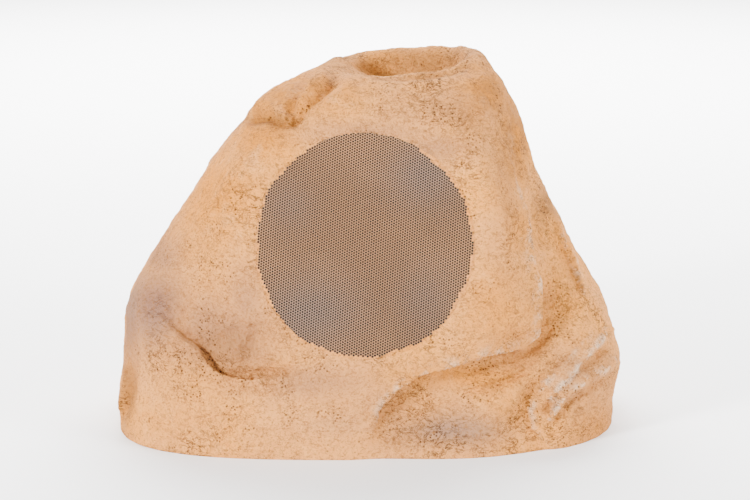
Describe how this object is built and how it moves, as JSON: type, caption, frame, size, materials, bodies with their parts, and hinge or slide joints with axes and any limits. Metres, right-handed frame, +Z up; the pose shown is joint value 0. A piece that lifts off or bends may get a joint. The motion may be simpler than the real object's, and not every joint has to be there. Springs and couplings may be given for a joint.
{
  "type": "rock shaped garden speaker",
  "caption": "Hollow cast rock with a round perforated grille in its leaning front face, holding a coaxial driver, crossover, base plate and cable gland, for outdoor sound.",
  "frame": {"origin": "middle of the footprint on the floor", "axes": "+X to the right as seen from the front, +Y to the back, +Z up; the grille faces -Y"},
  "size_m": [0.4974, 0.3419, 0.36],
  "materials": {
    "sandstone_coat": "cast glass fibre resin with a rough tan and orange sandstone coat",
    "grille_paint": "perforated steel sheet, patchily painted in the rock's colours",
    "dark_cloth": "dark acoustic cloth",
    "black_rubber": "soft black rubber or foam",
    "black_steel": "pressed steel, black paint",
    "cone_plastic": "moulded polypropylene cone",
    "amber_cloth": "resin treated corrugated cloth",
    "coil_metal": "enamelled copper winding",
    "plated_steel": "zinc plated steel",
    "ferrite": "dark ferrite",
    "black_plastic": "moulded black plastic",
    "terminal_board": "brown laminate with tin tabs",
    "lead_jacket": "flat twin lead in a red jacket",
    "circuit_board": "green laminate",
    "capacitor_film": "yellow film wrap",
    "resistor_body": "off-white cement"
  },
  "bodies": {
    "root": {"rock_shell": "sandstone_coat", "grille": "grille_paint", "grille_cloth": "dark_cloth", "driver_gasket": "black_rubber", "driver_basket": "black_steel", "surround": "black_rubber", "cone": "cone_plastic", "spider": "amber_cloth", "voice_coil": "coil_metal", "top_plate": "plated_steel", "magnet": "ferrite", "yoke": "plated_steel", "tweeter_post": "plated_steel", "tweeter_housing": "black_plastic", "tweeter_dome": "dark_cloth", "terminal_strip": "terminal_board", "driver_screws": "plated_steel", "driver_lead": "lead_jacket", "crossover_board": "circuit_board", "crossover_inductor": "coil_metal", "crossover_capacitors": "capacitor_film", "crossover_resistor": "resistor_body", "base_gasket": "black_rubber", "base_plate": "black_plastic", "base_screws": "plated_steel", "gland_body": "black_plastic", "gland_washer": "black_rubber", "gland_locknut": "black_plastic", "gland_insert": "black_rubber", "gland_cap": "black_plastic"}
  },
  "joints": []
}
